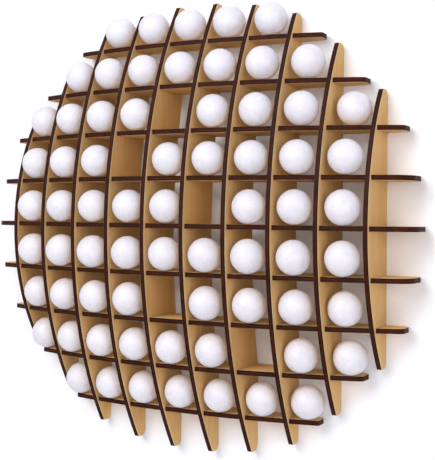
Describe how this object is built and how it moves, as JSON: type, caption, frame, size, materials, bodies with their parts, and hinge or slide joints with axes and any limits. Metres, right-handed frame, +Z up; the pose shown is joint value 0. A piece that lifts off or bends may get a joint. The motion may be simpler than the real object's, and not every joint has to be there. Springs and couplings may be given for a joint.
{
  "type": "golf ball display case",
  "caption": "Round wall rack of slotted boards in the form of a shallow dome, with open square cells in which golf balls stand on the shelves.",
  "frame": {"origin": "middle of the middle shelf's rear edge, on the wall", "axes": "+Z up, +Y into the wall, +X to the right as seen from the front"},
  "size_m": [0.6186, 0.1107, 0.5888],
  "materials": {
    "board": "raw fibreboard faces with dark laser-cut edges",
    "ball": "glossy white"
  },
  "bodies": {
    "rack": {"rib_1": "board", "rib_2": "board", "rib_3": "board", "rib_4": "board", "rib_5": "board", "rib_6": "board", "rib_7": "board", "rib_8": "board", "rib_9": "board", "rib_10": "board", "shelf_1": "board", "shelf_2": "board", "shelf_3": "board", "shelf_4": "board", "shelf_5": "board", "shelf_6": "board", "shelf_7": "board", "shelf_8": "board", "shelf_9": "board"},
    "row_1_balls": {"balls_shelf_1": "ball"},
    "row_2_balls": {"balls_shelf_2": "ball"},
    "row_3_balls": {"balls_shelf_3": "ball"},
    "row_4_balls": {"balls_shelf_4": "ball"},
    "row_5_balls": {"balls_shelf_5": "ball"},
    "row_6_balls": {"balls_shelf_6": "ball"},
    "row_7_balls": {"balls_shelf_7": "ball"},
    "row_8_balls": {"balls_shelf_8": "ball"},
    "row_9_balls": {"balls_shelf_9": "ball"}
  },
  "joints": [
    {"name": "row_1_out", "type": "slide", "parent": "rack", "child": "row_1_balls", "axis": [0, -1, 0], "range_m": [0, 0.05]},
    {"name": "row_2_out", "type": "slide", "parent": "rack", "child": "row_2_balls", "axis": [0, -1, 0], "range_m": [0, 0.05]},
    {"name": "row_3_out", "type": "slide", "parent": "rack", "child": "row_3_balls", "axis": [0, -1, 0], "range_m": [0, 0.05]},
    {"name": "row_4_out", "type": "slide", "parent": "rack", "child": "row_4_balls", "axis": [0, -1, 0], "range_m": [0, 0.05]},
    {"name": "row_5_out", "type": "slide", "parent": "rack", "child": "row_5_balls", "axis": [0, -1, 0], "range_m": [0, 0.05]},
    {"name": "row_6_out", "type": "slide", "parent": "rack", "child": "row_6_balls", "axis": [0, -1, 0], "range_m": [0, 0.05]},
    {"name": "row_7_out", "type": "slide", "parent": "rack", "child": "row_7_balls", "axis": [0, -1, 0], "range_m": [0, 0.05]},
    {"name": "row_8_out", "type": "slide", "parent": "rack", "child": "row_8_balls", "axis": [0, -1, 0], "range_m": [0, 0.05]},
    {"name": "row_9_out", "type": "slide", "parent": "rack", "child": "row_9_balls", "axis": [0, -1, 0], "range_m": [0, 0.05]}
  ]
}
